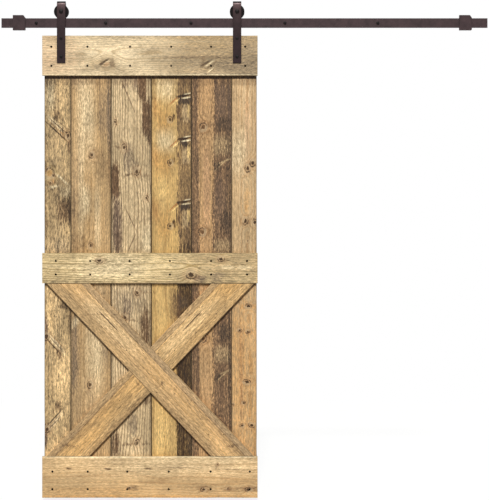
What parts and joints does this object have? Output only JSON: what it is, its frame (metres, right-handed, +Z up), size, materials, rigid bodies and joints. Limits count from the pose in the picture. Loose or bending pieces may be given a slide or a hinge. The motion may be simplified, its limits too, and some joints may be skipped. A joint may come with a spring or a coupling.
{
  "type": "sliding barn door",
  "caption": "Sliding barn door of upright pine boards with ledges and a cross brace below, hung by strap hangers with grooved wheels on a flat-bar wall track with end stops.",
  "frame": {"origin": "on the axis of the middle wall screw, in the plane of the wall", "axes": "+Z up, +X along the track to the right as seen from the front, +Y into the wall"},
  "size_m": [2.246, 0.107, 2.2937],
  "materials": {
    "board_pine": "knotty pine under a worn clear oil, satin",
    "ledge_pine": "pale knotty pine under a worn clear oil, satin",
    "brace_pine": "pale knotty pine under a worn clear oil, satin",
    "bronze_steel": "oil-rubbed bronze powder coat, satin",
    "black_iron": "blackened steel, satin"
  },
  "bodies": {
    "track": {"track_bar": "bronze_steel", "wall_screws": "black_iron", "wall_spacers": "bronze_steel", "left_stop": "bronze_steel", "right_stop": "bronze_steel", "stop_grub_screws": "black_iron"},
    "door": {"board_1": "board_pine", "board_2": "board_pine", "board_3": "board_pine", "board_4": "board_pine", "board_5": "board_pine", "board_6": "board_pine", "top_ledge": "ledge_pine", "middle_ledge": "ledge_pine", "bottom_ledge": "ledge_pine", "long_brace": "brace_pine", "lower_half_brace": "brace_pine", "upper_half_brace": "brace_pine", "top_ledge_nails": "black_iron", "middle_ledge_nails": "black_iron", "bottom_ledge_nails": "black_iron", "left_hanger_strap": "bronze_steel", "right_hanger_strap": "bronze_steel", "axle_bolts": "black_iron", "axle_nuts": "black_iron", "strap_screws": "black_iron"},
    "left_wheel": {"left_wheel": "black_iron"},
    "right_wheel": {"right_wheel": "black_iron"}
  },
  "joints": [
    {"name": "door_slide", "type": "slide", "parent": "track", "child": "door", "axis": [1, 0, 0], "range_m": [-0.1443, 0.9958]},
    {"name": "left_wheel_spin", "type": "hinge", "parent": "door", "child": "left_wheel", "pos_m": [-0.59894, -0.035, 0.0518], "axis": [0, 1, 0], "continuous": true},
    {"name": "right_wheel_spin", "type": "hinge", "parent": "door", "child": "right_wheel", "pos_m": [0.21306, -0.035, 0.0518], "axis": [0, 1, 0], "continuous": true}
  ],
  "couplings": [
    {"joint": "left_wheel_spin", "follows": "door_slide", "rad_per_m": 33.898},
    {"joint": "right_wheel_spin", "follows": "door_slide", "rad_per_m": 33.898}
  ]
}
